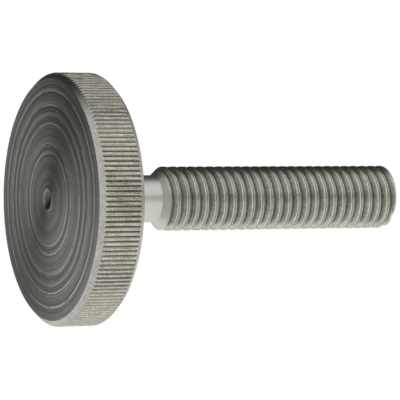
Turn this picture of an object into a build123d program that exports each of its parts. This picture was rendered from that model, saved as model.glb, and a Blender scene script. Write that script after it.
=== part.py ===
# A flat knurled thumb screw, turned from one bar: a broad thin head with a
# straight knurl on its rim, a thin neck and a threaded shank.
# Millimetres. It stands on its head: the origin is the middle of the head's
# outer face, and +Z runs along the shank to the tip.

import os
from math import pi, radians, tan

from build123d import *

# head
head_diameter = 30.2
head_thickness = 6.0  # outer face to underside
face_fall = 0.3  # the outer face is a very shallow cone, lowest at its edge
edge_chamfer = 0.7  # 45 degrees, on both edges of the rim
dish_diameter = 2.4  # turning centre left in the middle of the face
dish_depth = 0.35

# straight knurl on the rim
knurl_pitch = 0.597  # ridge to ridge, along the rim
knurl_depth = 0.2
knurl_angle = 90.0  # included angle of each groove

# neck, and the cone that leads up to the thread
neck_diameter = 5.7
neck_length = 7.8  # underside of the head to the cone
neck_fillet = 0.3
cone_angle = 45.0  # to the axis

# threaded shank, M8 x 1.25, a plain cylinder at the size of its crests
thread_diameter = 7.8
shank_length = 39.6  # underside of the head to the tip
tip_rounding = 0.45

head_radius = head_diameter / 2
face_radius = head_radius - edge_chamfer
dish_radius = dish_diameter / 2
neck_radius = neck_diameter / 2
thread_radius = thread_diameter / 2

neck_end = head_thickness + neck_length
cone_end = neck_end + (thread_radius - neck_radius) / tan(radians(cone_angle))
shank_end = head_thickness + shank_length

# a whole number of ridges, as near to the pitch as the rim allows
knurl_count = round(pi * head_diameter / knurl_pitch)
groove_height = knurl_depth + edge_chamfer  # root of the groove to well past the rim
groove_half_width = groove_height * tan(radians(knurl_angle / 2))

with BuildPart() as thumb_screw:
    with BuildSketch(Plane.XZ) as head_section:
        with BuildLine():
            TangentArc((0, dish_depth), (dish_radius, 0), tangent=(1, 0))
            Polyline(
                (dish_radius, 0),
                (face_radius, face_fall),
                (head_radius, face_fall + edge_chamfer),
                (head_radius, head_thickness - edge_chamfer),
                (face_radius, head_thickness),
                (0, head_thickness),
                (0, dish_depth),
            )
        make_face()
    revolve(axis=Axis.Z)

    # every groove is a V that opens outwards and runs the whole width of the rim
    with BuildSketch() as knurl:
        with PolarLocations(head_radius - knurl_depth, knurl_count):
            Polygon(
                (0, 0),
                (groove_height, groove_half_width),
                (groove_height, -groove_half_width),
                align=None,
            )
    extrude(amount=head_thickness, mode=Mode.SUBTRACT)

    # neck, cone and thread blank, standing on the underside of the head
    with BuildSketch(Plane.XZ) as shank_section:
        with BuildLine():
            Polyline(
                (0, head_thickness),
                (neck_radius, head_thickness),
                (neck_radius, neck_end),
                (thread_radius, cone_end),
                (thread_radius, shank_end),
                (0, shank_end),
                close=True,
            )
        make_face()
        tip_corner = shank_section.vertices().group_by(Axis.Y)[-1].sort_by(Axis.X)[-1]
        fillet(tip_corner, radius=tip_rounding)
    revolve(axis=Axis.Z)

    # root of the neck, where it leaves the underside of the head
    neck_root = (
        thumb_screw.edges()
        .filter_by(GeomType.CIRCLE)
        .filter_by(lambda edge: abs(edge.radius - neck_radius) < 1e-6)
        .sort_by(Axis.Z)[0]
    )
    fillet(neck_root, radius=neck_fillet)

os.makedirs("parts", exist_ok=True)
thumb_screw.part.label = "thumb_screw"
export_step(thumb_screw.part, "parts/thumb_screw.step")
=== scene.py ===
import math

import bpy
import numpy as np
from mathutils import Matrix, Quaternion, Vector


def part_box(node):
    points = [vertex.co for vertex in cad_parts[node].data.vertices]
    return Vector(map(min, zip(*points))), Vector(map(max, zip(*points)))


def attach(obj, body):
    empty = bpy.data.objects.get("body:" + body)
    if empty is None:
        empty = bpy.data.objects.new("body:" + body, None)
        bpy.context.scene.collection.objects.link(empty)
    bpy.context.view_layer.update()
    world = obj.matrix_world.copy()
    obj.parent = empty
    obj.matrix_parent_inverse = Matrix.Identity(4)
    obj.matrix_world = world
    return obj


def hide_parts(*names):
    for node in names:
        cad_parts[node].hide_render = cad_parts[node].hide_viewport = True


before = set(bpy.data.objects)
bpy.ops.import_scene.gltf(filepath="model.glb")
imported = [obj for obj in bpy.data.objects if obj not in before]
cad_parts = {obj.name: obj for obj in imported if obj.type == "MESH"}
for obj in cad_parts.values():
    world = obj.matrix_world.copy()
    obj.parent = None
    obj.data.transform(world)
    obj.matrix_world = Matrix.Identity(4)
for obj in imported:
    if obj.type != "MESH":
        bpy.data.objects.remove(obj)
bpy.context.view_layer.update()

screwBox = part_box("thumb_screw")
print("frame loaded, the screw is", round((screwBox[1].z - screwBox[0].z) * 1000, 1), "mm tall")

# turned head, with a straight knurl on its rim
head = {
    "radius": screwBox[1].y,
    "thickness": 0.0060,
    "faceFall": 0.0003,
    "chamfer": 0.0007,
    "dishRadius": 0.0012,
    "dishDepth": 0.00035,
    "toolRings": (0.0018, 0.0055, 0.0066, 0.0090, 0.0112, 0.0129),  # rings left by the turning tool; all but the first are also painted light, as painted highlights
    "toolRingWidth": 0.00014,
    "toolRingDepth": 0.000012,
    "knurlPitch": 0.000597,
    "knurlDepth": 0.0002,
    "ridgePlaces": (0, 0.17, 0.335, 0.40, 0.5, 0.60, 0.665, 0.83),  # points across one groove and ridge
    "dishRows": (0.25, 0.5, 0.75, 0.92),
    "faceRows": 16,
    "toolRingRows": (-1, -0.4, 0, 0.4, 1),
    "rimRows": 8,
    "runOutRows": (1.3, 1.0, 0.8, 0.6, 0.4, 0.2, 0.1),  # knurl depths past each end of the rim
    "underRings": (0.0120, 0.0090, 0.0065, 0.0045),
    "ridgeWear": 0.000030,
    "grooveWear": 0.000020,
    "seed": 11,
}
faceRadius = head["radius"] - head["chamfer"]
rimBottom = head["faceFall"] + head["chamfer"]
rimTop = head["thickness"] - head["chamfer"]
teeth = round(2 * math.pi * head["radius"] / head["knurlPitch"])

# neck, cone and thread
shank = {
    "neckRadius": 0.00285,
    "neckFillet": 0.0003,
    "filletRows": 5,
    "neckRows": 12,
    "neckEnd": 0.0138,
    "radius": 0.0039,
    "end": screwBox[1].z,
    "tipRounding": 0.00045,
    "pitch": 0.00125,
    "threadDepth": 0.00068,
    "flankAngle": 30.0,
    "crestWidth": 0.00042,
    "crestSeam": 0.000035,  # seam along the middle of each crest
    "seamShare": 0.75,
    "crestRounding": 0.000030,
    "firstCrest": 0.014569,  # height of a crest on the +X side
    "sides": 106,
    "rowPlaces": (0, 0.06, 0.105, 0.136, 0.165, 0.19, 0.33, 0.455, 0.5,
                  0.545, 0.67, 0.81, 0.835, 0.864, 0.895, 0.94),
    "wear": 0.000014,
    "notchAngle": 312.0,  # where the last groove runs out through the edge of the tip
    "notchWidth": 11.0,
    "notchDepth": 0.00022,
    "tipRings": (0.92, 0.7, 0.4, 0.15),
    "seed": 5,
}
tiny = 1e-6  # metres, under any real step in the shape


def smoothStep(x):
    x = np.clip(x, 0.0, 1.0)
    return x * x * (3 - 2 * x)


def makeRipple(seed, around, along, count):
    # smooth random ripple from 0 to 1 over an angle and a height, which closes on itself around the screw
    rng = np.random.default_rng(seed)
    turns = rng.integers(1, around, count)
    rise = rng.uniform(-along, along, count) * 1000  # radians a metre
    start = rng.uniform(0, 2 * math.pi, count)

    def ripple(angle, z):
        total = sum(np.sin(t * angle + r * z + s) for t, r, s in zip(turns, rise, start))
        return np.clip(0.5 + 0.5 * total / math.sqrt(count), 0, 1)

    return ripple


ridgeRipple = makeRipple(head["seed"], around=900, along=9.0, count=30)
grooveRipple = makeRipple(head["seed"] + 1, around=500, along=7.0, count=20)
wearRipple = makeRipple(shank["seed"], around=40, along=12.0, count=40)


class Skin:
    # rings of points up the screw, and the faces between them
    def __init__(self):
        self.points = []
        self.faces = []

    def addPoints(self, radius, angle, z):
        radius, angle, z = np.broadcast_arrays(*(np.atleast_1d(v) for v in (radius, angle, z)))
        first = len(self.points)
        self.points.extend(zip(radius * np.cos(angle), radius * np.sin(angle), z))
        return list(range(first, len(self.points)))

    def addFace(self, corners):
        corners = [c for i, c in enumerate(corners) if c not in corners[:i]]
        if len(corners) > 2:
            self.faces.append(corners)

    def join(self, a, b):
        # a is the ring nearer the middle of the outer face, b the next one on the way to the tip
        i = j = 0
        while i < len(a) or j < len(b):
            nextA, nextB = a[(i + 1) % len(a)], b[(j + 1) % len(b)]
            order = (i + 1) * len(b) - (j + 1) * len(a)
            if order == 0:
                self.addFace((a[i], nextA, nextB, b[j]))
                i, j = i + 1, j + 1
            elif order < 0:
                self.addFace((a[i], nextA, b[j % len(b)]))
                i += 1
            else:
                self.addFace((a[i % len(a)], nextB, b[j]))
                j += 1

    def joinRings(self, last, rings):
        for radius, angle, z in rings:
            ring = self.addPoints(radius, angle, z)
            self.join(last, ring)
            last = ring
        return last


def toothAngles(share):
    # angles of a ring with 8, 4 or 1 points a tooth
    step = len(head["ridgePlaces"]) // share
    places = head["ridgePlaces"][::step]
    return np.array([(t + p) * 2 * math.pi / teeth for t in range(teeth) for p in places])


def faceHeight(radius):
    # the outer face: a dish in the middle of a very shallow cone, with the rings that the tool left
    dish = head["dishDepth"] * (1 - (radius / head["dishRadius"]) ** 2)
    cone = head["faceFall"] * (radius - head["dishRadius"]) / (faceRadius - head["dishRadius"])
    for ring in head["toolRings"]:
        cone = cone + head["toolRingDepth"] * smoothStep(1 - abs(radius - ring) / head["toolRingWidth"])
    return np.where(radius < head["dishRadius"], dish, cone)


def rimRadius(angle, z):
    # flat ridges and V grooves, cut off by both chamfers
    place = angle * teeth / (2 * math.pi)
    place = np.abs(place - np.round(place))
    cut = np.maximum(0, head["knurlDepth"] - place * head["knurlPitch"])
    floor = head["grooveWear"] * grooveRipple(angle, z) * cut / head["knurlDepth"]
    ridge = head["ridgeWear"] * ridgeRipple(angle, z)
    lower = faceRadius + z - head["faceFall"]
    upper = faceRadius + head["thickness"] - z
    return np.minimum(np.minimum(lower, upper), head["radius"] - np.maximum(cut - floor, ridge))


def makeHead(skin):
    faceSteps = [share * head["dishRadius"] for share in head["dishRows"]]
    faceSteps += list(np.linspace(head["dishRadius"], faceRadius, head["faceRows"]))
    for ring in head["toolRings"]:
        faceSteps += [ring + share * head["toolRingWidth"] for share in head["toolRingRows"]]
    once, four, eight = toothAngles(1), toothAngles(4), toothAngles(8)
    last = skin.addPoints(0.0, 0.0, head["dishDepth"])
    last = skin.joinRings(last, [(radius, once, faceHeight(radius)) for radius in sorted(faceSteps)])
    # front chamfer, then the rim with close rows where the grooves run out
    quarter = 0.25 * head["chamfer"]
    last = skin.joinRings(last, [(faceRadius + quarter, four, head["faceFall"] + quarter)])
    runOut = head["runOutRows"]
    rows = [rimBottom - head["knurlDepth"] * share for share in runOut]
    rows += list(np.linspace(rimBottom, rimTop, head["rimRows"]))
    rows += [rimTop + head["knurlDepth"] * share for share in reversed(runOut)]
    last = skin.joinRings(last, [(rimRadius(eight, z), eight, z) for z in rows])
    # rear chamfer, underside and the fillet at the root of the neck
    around = np.arange(shank["sides"]) * 2 * math.pi / shank["sides"]
    under = head["thickness"]
    rings = [(faceRadius + quarter, four, under - quarter), (faceRadius, once, under)]
    rings += [(radius, once, under) for radius in head["underRings"]]
    for turn in np.linspace(0, math.pi / 2, shank["filletRows"]):
        radius = shank["neckRadius"] + shank["neckFillet"] * (1 - math.sin(turn))
        rings.append((radius, around, under + shank["neckFillet"] * (1 - math.cos(turn))))
    return skin.joinRings(last, rings)


def threadRadius(angle, z):
    # distance along the screw from the middle of the nearest crest
    place = (z - shank["firstCrest"]) / shank["pitch"] - angle / (2 * math.pi)
    across = np.abs(place - np.round(place)) * shank["pitch"]
    half = shank["crestWidth"] / 2
    flank = np.maximum(across - half, 0) / math.tan(math.radians(shank["flankAngle"]))
    seam = shank["crestSeam"] * smoothStep(1 - across / (shank["seamShare"] * half))
    # the edges of a crest are rounded over its outer quarter
    edge = shank["crestRounding"] * smoothStep(across / half * 3.5 - 2.6)
    cut = np.minimum(flank + seam + edge + shank["wear"] * wearRipple(angle, z), shank["threadDepth"])
    cone = shank["neckRadius"] + np.maximum(z - shank["neckEnd"], 0)
    over = np.clip(z - (shank["end"] - shank["tipRounding"]), 0, shank["tipRounding"])
    tip = shank["radius"] - shank["tipRounding"] + np.sqrt(shank["tipRounding"] ** 2 - over ** 2)
    notch = np.exp(-((np.degrees(angle) - shank["notchAngle"]) / shank["notchWidth"]) ** 2)
    tip = tip - shank["notchDepth"] * notch * smoothStep(over / shank["tipRounding"] * 1.3)
    return np.minimum(np.minimum(cone, tip), shank["radius"] - cut)


def makeShank(skin, last):
    sides, places, pitch = shank["sides"], shank["rowPlaces"], shank["pitch"]
    around = np.arange(sides) * 2 * math.pi / sides
    low, high = shank["neckEnd"], shank["end"]
    necks = np.linspace(head["thickness"] + shank["neckFillet"], low, shank["neckRows"])[1:]
    start = skin.joinRings(last, [(shank["neckRadius"], around, z) for z in necks])
    tip = skin.addPoints(threadRadius(around, high), around, high)
    # rows of points follow the helix, and are held at the start of the cone and at the tip
    first = -len(places) * (math.ceil((shank["firstCrest"] - low) / pitch) + 1)
    count = len(places) * (math.ceil((high - shank["firstCrest"]) / pitch) + 1) - first
    rows = []
    for row in range(first, first + count):
        turn, step = divmod(row, len(places))
        z = shank["firstCrest"] + (turn + places[step] + around / (2 * math.pi)) * pitch
        inside = (z > low + tiny) & (z < high - tiny)
        ids = np.where(z <= low + tiny, start, tip)
        ids[inside] = skin.addPoints(threadRadius(around[inside], z[inside]), around[inside], z[inside])
        rows.append(ids.tolist())
    rows += [tip] * (len(places) + 1)
    # the last column meets the first one a whole pitch further up
    for a, b, nextA, nextB in zip(rows, rows[1:], rows[len(places):], rows[len(places) + 1:]):
        for i in range(sides - 1):
            skin.addFace((a[i], a[i + 1], b[i + 1], b[i]))
        skin.addFace((a[-1], nextA[0], nextB[0], b[-1]))
    edge = threadRadius(around, high)
    last = skin.joinRings(tip, [(edge * share, around, high) for share in shank["tipRings"]])
    skin.join(last, skin.addPoints(0.0, 0.0, high))


sharpFrom = 28  # degrees between two faces


def makeScrew():
    skin = Skin()
    makeShank(skin, makeHead(skin))
    mesh = bpy.data.meshes.new("thumbScrew")
    mesh.from_pydata([tuple(map(float, point)) for point in skin.points], [], skin.faces)
    mesh.update()
    mesh.shade_smooth()
    mesh.set_sharp_from_angle(angle=math.radians(sharpFrom))
    # each face gets the finish of the place where it lies
    middles = np.empty(3 * len(mesh.polygons))
    mesh.polygons.foreach_get("center", middles)
    x, y, z = middles.reshape(-1, 3).T
    radius = np.hypot(x, y)
    margin = 10 * tiny
    slope = faceRadius + np.minimum(z - head["faceFall"], head["thickness"] - z)
    finishes = [
        (makeFaceSteel(), (z < head["dishDepth"] + margin) & (radius < faceRadius)),
        (makeChamferSteel(), (np.abs(radius - slope) < margin) & ((z < rimBottom) | (z > rimTop))),
        (makeKnurlSteel(), (radius > faceRadius) & (z < head["thickness"])),
        (makeNeckSteel(), radius > shank["neckRadius"] + z - shank["neckEnd"] - margin),
        (makeTipSteel(), z > shank["end"] - tiny),
        (makeThreadSteel(), z >= 0),
    ]
    for material, where in finishes:
        mesh.materials.append(material)
    mesh.polygons.foreach_set("material_index", np.argmax([where for material, where in finishes], axis=0))
    screw = bpy.data.objects.new("thumbScrew", mesh)
    bpy.context.scene.collection.objects.link(screw)
    print("screw made,", sum(len(face) - 2 for face in skin.faces), "triangles")
    return screw


def addNode(tree, kind, inputs=None, **settings):
    made = tree.nodes.new(kind)
    for name, value in settings.items():
        setattr(made, name, value)
    for key, value in (inputs or {}).items():
        plug(tree, value, made.inputs[key])
    return made


def plug(tree, value, socket):
    if isinstance(value, bpy.types.NodeSocket):
        tree.links.new(value, socket)
    else:
        socket.default_value = value


def addMath(tree, operation, *values):
    made = addNode(tree, "ShaderNodeMath", operation=operation)
    for socket, value in zip(made.inputs, values):
        plug(tree, value, socket)
    return made.outputs[0]


def addRange(tree, value, low, high, toLow=0.0, toHigh=1.0, curve="SMOOTHSTEP"):
    inputs = {"Value": value, "From Min": low, "From Max": high, "To Min": toLow, "To Max": toHigh}
    return addNode(tree, "ShaderNodeMapRange", inputs, interpolation_type=curve).outputs["Result"]


def addMix(tree, share, one, two):
    made = addNode(tree, "ShaderNodeMix", data_type="RGBA")
    for socket, value in zip((made.inputs[0], made.inputs[6], made.inputs[7]), (share, one, two)):
        plug(tree, value, socket)
    return made.outputs[2]


def addNoise(tree, where, scale, detail=3.0, roughness=0.5):
    # a single number as the place gives lines, a point gives patches
    inputs = {"Scale": scale, "Detail": detail, "Roughness": roughness}
    if where.type == "VALUE":
        inputs["W"] = where
        return addNode(tree, "ShaderNodeTexNoise", inputs, noise_dimensions="1D").outputs["Fac"]
    inputs["Vector"] = where
    return addNode(tree, "ShaderNodeTexNoise", inputs).outputs["Fac"]


def addSpecks(tree, where, scale, size, share):
    # small round specks, kept only where the cell's own random colour is low enough
    cells = addNode(tree, "ShaderNodeTexVoronoi", {"Vector": where, "Scale": scale})
    dot = addRange(tree, cells.outputs["Distance"], 0.5 * size, size, 1.0, 0.0)
    pick = addNode(tree, "ShaderNodeSeparateColor", {"Color": cells.outputs["Color"]})
    chosen = addMath(tree, "LESS_THAN", pick.outputs[0], share)
    return addMath(tree, "MULTIPLY", dot, chosen)


def addBlend(tree, patterns, shares):
    # several patterns added up, each by its own share
    parts = [addMath(tree, "MULTIPLY", pattern, share) for pattern, share in zip(patterns, shares)]
    total = parts[0]
    for part in parts[1:]:
        total = addMath(tree, "ADD", total, part)
    return total


def addBand(tree, value, place, width, share=1.0):
    # strongest where the value meets the place, and gone a width away from it
    away = addMath(tree, "ABSOLUTE", addMath(tree, "SUBTRACT", value, place))
    return addRange(tree, away, 0.0, width, share, 0.0)


def addRough(tree, tone, look):
    # the roughness follows the tone
    smoother, rougher = look["roughSpread"]
    middle = look["roughness"]
    return addRange(tree, tone, *look["roughRange"], middle - smoother, middle + rougher, "LINEAR")


class Steel:
    # a bare steel material with the places that the finishes are drawn from
    def __init__(self, name, roughness, anisotropic=0.0):
        self.material = bpy.data.materials.new(name)
        self.material.use_nodes = True
        self.tree = self.material.node_tree
        self.shader = self.tree.nodes["Principled BSDF"]
        self.shader.inputs["Metallic"].default_value = 1.0
        self.shader.inputs["Roughness"].default_value = roughness
        self.shader.inputs["Anisotropic"].default_value = anisotropic
        if anisotropic:
            # the turning lines run around the screw, so the sheen spreads across them, a quarter turn away
            self.shader.inputs["Anisotropic Rotation"].default_value = 0.25
            tangent = addNode(self.tree, "ShaderNodeTangent", direction_type="RADIAL", axis="Z")
            plug(self.tree, tangent.outputs[0], self.shader.inputs["Tangent"])
        self.point = addNode(self.tree, "ShaderNodeTexCoord").outputs["Object"]
        self.x, self.y, self.z = addNode(self.tree, "ShaderNodeSeparateXYZ", {"Vector": self.point}).outputs
        square = [addMath(self.tree, "MULTIPLY", side, side) for side in (self.x, self.y)]
        self.radius = addMath(self.tree, "SQRT", addMath(self.tree, "ADD", *square))

    def stray(self, value, scale, amount):
        # turned lines stray a little, so that none is a perfect circle
        noise = addNoise(self.tree, self.point, scale, 2)
        return addMath(self.tree, "ADD", value, addMath(self.tree, "MULTIPLY", noise, amount))

    def finish(self, color, roughness, height, depth):
        bump = addNode(self.tree, "ShaderNodeBump", {"Height": height, "Strength": 0.4, "Distance": depth})
        for value, name in ((color, "Base Color"), (roughness, "Roughness"), (bump.outputs[0], "Normal")):
            plug(self.tree, value, self.shader.inputs[name])
        return self.material


faceFinish = {
    "light": (0.53, 0.53, 0.49, 1),
    "dark": (0.30, 0.30, 0.275, 1),
    "contrast": (0.40, 0.60),
    # bright: near white, for the painted highlights on the light rings and the lip of the dish, and for the
    # bright specks
    "bright": (0.95, 0.95, 0.90, 1),
    # scale: near black, for the dark specks, the painted shade of the dark rings and the dish, and the
    # darkening towards the middle
    "scale": (0.10, 0.10, 0.09, 1),
    "roughness": 0.34,
    "roughRange": (0.3, 0.7),
    "roughSpread": (0.06, 0.08),
    "anisotropic": 0.8,
    "stray": (120, 0.0005),  # noise scale, and the most that a line strays
    "fineScale": 9000,
    "broadScale": 1300,
    "lineShares": (0.55, 0.45),
    "patchScale": 260,
    # lines painted dark between the tool rings, as painted shade
    "darkRings": (0.0060, 0.0079, 0.0097, 0.0105, 0.0118, 0.0136),
    "ringShift": 0.00025,  # half of the most that a line strays
    "ringWidth": 0.00013,
    "ringPatches": (0.38, 0.52),
    "lightRingShare": 0.95,
    "darkRingShare": 0.5,
    "darkSpecks": (900, 0.14, 0.20),  # scale, size, and share of the cells that have one
    "brightSpecks": (1150, 0.15, 0.12),
    # how far out, and how strongly, the face is made darker towards its middle
    "darkeningRadius": 0.0075,
    "darkeningShare": 0.35,
    # where the painted shade in the dish fades out
    "dishEdge": (0.00105, 0.00118),
    "dishShadeShare": 0.92,
    # a painted highlight along the lip of the dish
    "lipShift": 0.00006,
    "lipWidth": 0.00010,
    "lipShare": 0.9,
    "lipPatches": (0.35, 0.55),
    "bump": 0.00002,
}


def makeFaceSteel():
    look = faceFinish
    steel = Steel("turnedFace", look["roughness"], look["anisotropic"])
    tree = steel.tree
    radius = steel.stray(steel.radius, *look["stray"])
    fine = addNoise(tree, radius, look["fineScale"], 4, 0.65)
    broad = addNoise(tree, radius, look["broadScale"], 3, 0.6)
    patches = addNoise(tree, steel.point, look["patchScale"], 4, 0.6)
    lines = addBlend(tree, (fine, broad), look["lineShares"])
    color = addMix(tree, addRange(tree, lines, *look["contrast"]), look["dark"], look["light"])
    # the light rings are painted highlights and the dark rings painted shade, along the turning marks
    rings = {}
    for name, places in (("light", head["toolRings"][1:]), ("dark", look["darkRings"])):
        total = 0.0
        for place in places:
            ring = addBand(tree, radius, place + look["ringShift"], look["ringWidth"])
            total = addMath(tree, "MAXIMUM", total, ring)
        # a ring comes and goes along its way round
        rings[name] = addMath(tree, "MULTIPLY", total, addRange(tree, patches, *look["ringPatches"]))
    lightRings = addMath(tree, "MULTIPLY", rings["light"], look["lightRingShare"])
    color = addMix(tree, lightRings, color, look["bright"])
    darkRings = addMath(tree, "MULTIPLY", rings["dark"], look["darkRingShare"])
    color = addMix(tree, darkRings, color, look["scale"])
    color = addMix(tree, addSpecks(tree, steel.point, *look["darkSpecks"]), color, look["scale"])
    color = addMix(tree, addSpecks(tree, steel.point, *look["brightSpecks"]), color, look["bright"])
    # the face is darker towards its middle, and the dish is painted dark, painted shade in the hollow
    darkening = addRange(tree, steel.radius, 0.0, look["darkeningRadius"], look["darkeningShare"], 0.0)
    color = addMix(tree, darkening, color, look["scale"])
    dishShade = addRange(tree, steel.radius, *look["dishEdge"], look["dishShadeShare"], 0.0)
    color = addMix(tree, dishShade, color, look["scale"])
    # painted highlight on the lip of the dish, coming and going round it
    lipRadius = head["dishRadius"] + look["lipShift"]
    lip = addBand(tree, steel.radius, lipRadius, look["lipWidth"], look["lipShare"])
    lip = addMath(tree, "MULTIPLY", lip, addRange(tree, patches, *look["lipPatches"]))
    color = addMix(tree, lip, color, look["bright"])
    return steel.finish(color, addRough(tree, lines, look), lines, look["bump"])


chamferFinish = {
    "light": (0.51, 0.51, 0.46, 1),
    "dark": (0.36, 0.36, 0.32, 1),
    "contrast": (0.38, 0.62),
    "roughness": 0.30,
    "anisotropic": 0.5,
    "lineScale": 12000,
    "mottleScale": 2500,
    "shares": (0.5, 0.5),
    "bump": 0.00001,
}


def makeChamferSteel():
    look = chamferFinish
    steel = Steel("chamferSteel", look["roughness"], look["anisotropic"])
    tree = steel.tree
    lines = addNoise(tree, steel.radius, look["lineScale"], 3, 0.6)
    mottle = addNoise(tree, steel.point, look["mottleScale"], 3, 0.6)
    tone = addBlend(tree, (lines, mottle), look["shares"])
    color = addMix(tree, addRange(tree, tone, *look["contrast"]), look["dark"], look["light"])
    return steel.finish(color, look["roughness"], tone, look["bump"])


knurlFinish = {
    "light": (0.64, 0.62, 0.545, 1),
    "dark": (0.37, 0.355, 0.30, 1),
    "contrast": (0.38, 0.62),
    # dark colour deep in the grooves: partly oxide in the hollows, partly painted shade
    "groove": (0.28, 0.265, 0.21, 1),
    "grooveHeights": (0.00010, 0.00018),  # above the floor of a groove
    "grooveShare": 0.85,
    "bright": (0.95, 0.94, 0.88, 1),
    "scale": (0.08, 0.075, 0.06, 1),
    "roughness": 0.27,
    "roughRange": (0.35, 0.65),
    "roughSpread": (0.05, 0.10),
    "mottleScale": 5200,
    "patchScale": 700,
    "shares": (0.7, 0.3),
    "brightSpecks": (3200, 0.28, 0.06),
    "darkSpecks": (2300, 0.25, 0.04),
    "bump": 0.00003,
}


def makeKnurlSteel():
    look = knurlFinish
    steel = Steel("knurlSteel", look["roughness"])
    tree = steel.tree
    mottle = addNoise(tree, steel.point, look["mottleScale"], 4, 0.65)
    patches = addNoise(tree, steel.point, look["patchScale"], 3)
    tone = addBlend(tree, (mottle, patches), look["shares"])
    color = addMix(tree, addRange(tree, tone, *look["contrast"]), look["dark"], look["light"])
    # the grooves are darker deep down, partly from oxide in the hollows and partly as painted shade
    floor = head["radius"] - head["knurlDepth"]
    low, high = (floor + height for height in look["grooveHeights"])
    deep = addRange(tree, steel.radius, low, high, 1.0, 0.0)
    color = addMix(tree, addMath(tree, "MULTIPLY", deep, look["grooveShare"]), color, look["groove"])
    color = addMix(tree, addSpecks(tree, steel.point, *look["brightSpecks"]), color, look["bright"])
    color = addMix(tree, addSpecks(tree, steel.point, *look["darkSpecks"]), color, look["scale"])
    return steel.finish(color, addRough(tree, tone, look), tone, look["bump"])


neckFinish = {
    "light": (0.67, 0.67, 0.615, 1),
    "dark": (0.56, 0.56, 0.51, 1),
    "contrast": (0.36, 0.64),
    "roughness": 0.40,
    "anisotropic": 0.4,
    "stray": (150, 0.0002),
    "lineScale": 9000,
    "bump": 0.00001,
}


def makeNeckSteel():
    look = neckFinish
    steel = Steel("neckSteel", look["roughness"], look["anisotropic"])
    tree = steel.tree
    # height and radius together give lines on the neck, the cone and the underside alike
    along = steel.stray(addMath(tree, "ADD", steel.z, steel.radius), *look["stray"])
    lines = addNoise(tree, along, look["lineScale"], 4, 0.65)
    color = addMix(tree, addRange(tree, lines, *look["contrast"]), look["dark"], look["light"])
    return steel.finish(color, look["roughness"], lines, look["bump"])


threadFinish = {
    "light": (0.63, 0.63, 0.565, 1),
    "dark": (0.36, 0.36, 0.315, 1),
    "contrast": (0.42, 0.58),
    # dark colour in the roots of the thread, painted shade
    "root": (0.20, 0.20, 0.165, 1),
    "rootPlaces": (0.00040, 0.00060),  # distances from the middle of a crest
    "rootShare": 0.9,
    # dark colour along the middle of each crest, over its seam, painted shade
    "crest": (0.24, 0.24, 0.21, 1),
    "crestPlaces": (0.00011, 0.00020),
    "crestShare": 0.8,
    "bright": (0.97, 0.97, 0.90, 1),
    "scale": (0.10, 0.10, 0.085, 1),
    "roughness": 0.30,
    "roughRange": (0.35, 0.65),
    "roughSpread": (0.05, 0.08),
    "anisotropic": 0.4,
    "lineScale": 9500,
    "scuffScale": 3800,
    "patchScale": 600,
    "shares": (0.4, 0.4, 0.2),
    "edgePlace": 0.000168,  # painted highlights on the edges of each crest, either side of its seam
    "edgeWidth": 0.000036,
    "edgeDepths": (0.00012, 0.00007),  # under the crests, where the painted highlights on the edges fade in
    "edgeScuffs": (0.36, 0.50),
    "scuffedEdge": 0.3,
    "specks": (1300, 0.12, 0.05),
    "bump": 0.00002,
}


def makeThreadSteel():
    look = threadFinish
    steel = Steel("threadSteel", look["roughness"], look["anisotropic"])
    tree = steel.tree
    # distance along the screw from the middle of the nearest crest, as in threadRadius
    turn = addMath(tree, "DIVIDE", addMath(tree, "ARCTAN2", steel.y, steel.x), 2 * math.pi)
    rise = addMath(tree, "DIVIDE", addMath(tree, "SUBTRACT", steel.z, shank["firstCrest"]), shank["pitch"])
    place = addMath(tree, "FRACT", addMath(tree, "ADD", addMath(tree, "SUBTRACT", rise, turn), 0.5))
    signed = addMath(tree, "MULTIPLY", addMath(tree, "SUBTRACT", place, 0.5), shank["pitch"])
    across = addMath(tree, "ABSOLUTE", signed)
    lines = addNoise(tree, signed, look["lineScale"], 3, 0.6)
    scuffs = addNoise(tree, steel.point, look["scuffScale"], 4, 0.65)
    patches = addNoise(tree, steel.point, look["patchScale"], 3)
    tone = addBlend(tree, (lines, scuffs, patches), look["shares"])
    color = addMix(tree, addRange(tree, tone, *look["contrast"]), look["dark"], look["light"])
    # painted shade in the roots of the thread
    root = addRange(tree, across, *look["rootPlaces"], 0.0, look["rootShare"])
    color = addMix(tree, root, color, look["root"])
    # painted shade along the middle of each crest, over its seam
    crest = addRange(tree, across, *look["crestPlaces"], look["crestShare"], 0.0)
    color = addMix(tree, crest, color, look["crest"])
    # painted highlights on the edges of the crests, weaker where the thread is scuffed
    edge = addBand(tree, across, look["edgePlace"], look["edgeWidth"])
    scuffed = addRange(tree, scuffs, *look["edgeScuffs"], look["scuffedEdge"], 1.0)
    edge = addMath(tree, "MULTIPLY", edge, scuffed)
    low, high = (shank["radius"] - depth for depth in look["edgeDepths"])
    edge = addMath(tree, "MULTIPLY", edge, addRange(tree, steel.radius, low, high))
    color = addMix(tree, edge, color, look["bright"])
    color = addMix(tree, addSpecks(tree, steel.point, *look["specks"]), color, look["scale"])
    return steel.finish(color, addRough(tree, tone, look), tone, look["bump"])


tipFinish = {
    "light": (0.60, 0.60, 0.55, 1),
    "dark": (0.48, 0.48, 0.44, 1),
    "contrast": (0.36, 0.64),
    "roughness": 0.32,
    "anisotropic": 0.6,
    "stray": (300, 0.0003),
    "lineScale": 7000,
    "bump": 0.00002,
}


def makeTipSteel():
    look = tipFinish
    steel = Steel("tipSteel", look["roughness"], look["anisotropic"])
    tree = steel.tree
    lines = addNoise(tree, steel.stray(steel.radius, *look["stray"]), look["lineScale"], 4, 0.6)
    color = addMix(tree, addRange(tree, lines, *look["contrast"]), look["dark"], look["light"])
    return steel.finish(color, look["roughness"], lines, look["bump"])


screw = makeScrew()
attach(screw, "root")
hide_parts("thumb_screw")

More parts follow.
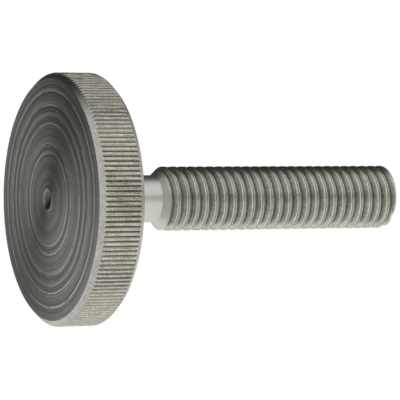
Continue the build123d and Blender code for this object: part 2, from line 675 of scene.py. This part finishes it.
# floor, light tent, lamp and camera
floorLook = {
    "color": (0.86, 0.86, 0.85, 1),
    "roughness": 0.9,
    "radius": 1.6,
    "innerRadius": 0.018,
}


def makeDisc(name, inner, outer, z, count=96):
    angles = [2 * math.pi * i / count for i in range(count)]
    points = [(outer * math.cos(a), outer * math.sin(a), z) for a in angles]
    if inner > 0:
        points += [(inner * math.cos(a), inner * math.sin(a), z) for a in angles]
        faces = [(i, (i + 1) % count, count + (i + 1) % count, count + i) for i in range(count)]
    else:
        faces = [tuple(range(count))]
    mesh = bpy.data.meshes.new(name)
    mesh.from_pydata(points, [], faces)
    made = bpy.data.objects.new(name, mesh)
    bpy.context.scene.collection.objects.link(made)
    return made


def makeFloor():
    # pale from above, and clear from below so that the head's face can be seen through it
    material = bpy.data.materials.new("paleFloor")
    material.use_nodes = True
    tree = material.node_tree
    shader = tree.nodes["Principled BSDF"]
    shader.inputs["Base Color"].default_value = floorLook["color"]
    shader.inputs["Roughness"].default_value = floorLook["roughness"]
    clear = addNode(tree, "ShaderNodeBsdfTransparent")
    back = addNode(tree, "ShaderNodeNewGeometry").outputs["Backfacing"]
    mix = addNode(tree, "ShaderNodeMixShader", {0: back, 1: shader.outputs[0], 2: clear.outputs[0]})
    tree.links.new(mix.outputs[0], tree.nodes["Material Output"].inputs["Surface"])
    outerFloor = makeDisc("floor", floorLook["innerRadius"], floorLook["radius"], 0.0)
    innerFloor = makeDisc("floorUnderHead", 0, floorLook["innerRadius"], 0.0)
    innerFloor.visible_shadow = False
    for made in (outerFloor, innerFloor):
        made.data.materials.append(material)
        made.visible_glossy = False  # the steel mirrors the tent all round it


# the tent is white, dark on one side behind the screw, with a narrow dim gap in front of it
tent = {
    "radius": 0.8,
    "darkPatches": (  # direction, half angle where it is darkest, half angle where it ends
        ((-0.64, 0.76, 0.14), 30.0, 70.0),
        ((-0.35, 0.74, -0.57), 18.0, 46.0),
    ),
    "darkLevel": 0.05,
    "brightTowards": (1.0, 0.1, 0.2),
    "brightGone": 110.0,
    "plainLevel": 0.97,
    "gapAt": -0.05,
    "gapHalfWidth": 0.26,
    "gapCore": 0.2,  # share of that width with the full dimness
    "gapFront": (-0.15, 0.0),
    "gapBottom": (0.0, 0.2),
    "gapTop": (0.62, 0.85),
    "gapLevel": 0.25,
}


def addAway(tree, towards, direction):
    # angle between a place on the tent and a direction
    direction = tuple(Vector(direction).normalized())
    facing = addNode(tree, "ShaderNodeVectorMath", {0: towards, 1: direction}, operation="DOT_PRODUCT")
    return addMath(tree, "ARCCOSINE", facing.outputs["Value"])


def makeTent():
    material = bpy.data.materials.new("tentCloth")
    material.use_nodes = True
    tree = material.node_tree
    place = addNode(tree, "ShaderNodeTexCoord").outputs["Object"]
    towards = addNode(tree, "ShaderNodeVectorMath", {0: place}, operation="NORMALIZE").outputs[0]
    away = addAway(tree, towards, tent["brightTowards"])
    level = addRange(tree, away, 0.0, math.radians(tent["brightGone"]), 1.0, tent["plainLevel"])
    dark = 1.0
    for direction, full, gone in tent["darkPatches"]:
        away = addAway(tree, towards, direction)
        dark = addMath(tree, "MULTIPLY", dark, addRange(tree, away, math.radians(full), math.radians(gone)))
    dark = addRange(tree, dark, 0.0, 1.0, tent["darkLevel"], 1.0, "LINEAR")
    level = addMath(tree, "MULTIPLY", level, dark)
    x, y, z = addNode(tree, "ShaderNodeSeparateXYZ", {"Vector": towards}).outputs
    aside = addMath(tree, "ABSOLUTE", addMath(tree, "SUBTRACT", x, tent["gapAt"]))
    half = tent["gapHalfWidth"]
    gap = addRange(tree, aside, tent["gapCore"] * half, half, 1.0 - tent["gapLevel"], 0.0)
    front = addRange(tree, y, *tent["gapFront"], 1.0, 0.0)
    bottom = addRange(tree, z, *tent["gapBottom"])
    high = addMath(tree, "MULTIPLY", bottom, addRange(tree, z, *tent["gapTop"], 1.0, 0.0))
    gap = addMath(tree, "MULTIPLY", gap, addMath(tree, "MULTIPLY", front, high))
    level = addMath(tree, "MULTIPLY", level, addMath(tree, "SUBTRACT", 1.0, gap))
    glow = addNode(tree, "ShaderNodeEmission", {"Strength": level})
    tree.links.new(glow.outputs[0], tree.nodes["Material Output"].inputs["Surface"])
    bpy.ops.mesh.primitive_uv_sphere_add(segments=48, ring_count=24, radius=tent["radius"])
    made = bpy.context.object
    made.name = "lightTent"
    made.data.materials.append(material)
    for kind in ("camera", "diffuse", "shadow", "transmission", "volume_scatter"):
        setattr(made, "visible_" + kind, False)


worldLook = {"seen": 1.0, "light": 0.75}


def makeWorld():
    world = bpy.data.worlds.new("whiteRoom")
    world.use_nodes = True
    bpy.context.scene.world = world
    tree = world.node_tree
    path = addNode(tree, "ShaderNodeLightPath").outputs
    seen = addMath(tree, "MAXIMUM", path["Is Camera Ray"], path["Is Glossy Ray"])
    seen = addMath(tree, "MAXIMUM", seen, path["Is Transmission Ray"])
    strength = addRange(tree, seen, 0.0, 1.0, worldLook["light"], worldLook["seen"], "LINEAR")
    tree.links.new(strength, tree.nodes["Background"].inputs["Strength"])
    tree.nodes["Background"].inputs["Color"].default_value = (1, 1, 1, 1)


lamp = {
    "towards": (0.3, -0.2, 1.0),
    "distance": 0.5,
    "aim": (0, 0, 0.02),
    "size": 0.35,
    "power": 0.6,
}


def makeLamp():
    light = bpy.data.lights.new("topLamp", "AREA")
    light.shape = "DISK"
    light.size = lamp["size"]
    light.energy = lamp["power"]
    made = bpy.data.objects.new("topLamp", light)
    direction = Vector(lamp["towards"]).normalized()
    made.location = direction * lamp["distance"] + Vector(lamp["aim"])
    made.rotation_mode = "QUATERNION"
    made.rotation_quaternion = direction.to_track_quat("Z", "Y")
    made.visible_glossy = False
    bpy.context.scene.collection.objects.link(made)


view = {
    "aim": (0.0002, 0.0, 0.02015),
    "azimuth": 0.60,
    "elevation": -26.16,
    "distance": 0.3588,
    "roll": 89.49,
    "lens": 265.5,
    "clip": (0.01, 10.0),
}


def makeCamera():
    camera = bpy.data.objects.new("camera", bpy.data.cameras.new("camera"))
    bpy.context.scene.collection.objects.link(camera)
    around, up = math.radians(view["azimuth"]), math.radians(view["elevation"])
    back = Vector((math.sin(around) * math.cos(up), -math.cos(around) * math.cos(up), math.sin(up)))
    camera.location = Vector(view["aim"]) + back * view["distance"]
    camera.rotation_mode = "QUATERNION"
    level = (-back).to_track_quat("-Z", "Y")
    camera.rotation_quaternion = Quaternion(back, math.radians(view["roll"])) @ level
    camera.data.lens = view["lens"]
    camera.data.clip_start, camera.data.clip_end = view["clip"]
    bpy.context.scene.camera = camera


makeFloor()
makeTent()
makeWorld()
makeLamp()
makeCamera()
bpy.context.scene.view_settings.view_transform = "Standard"
print("stage ready")
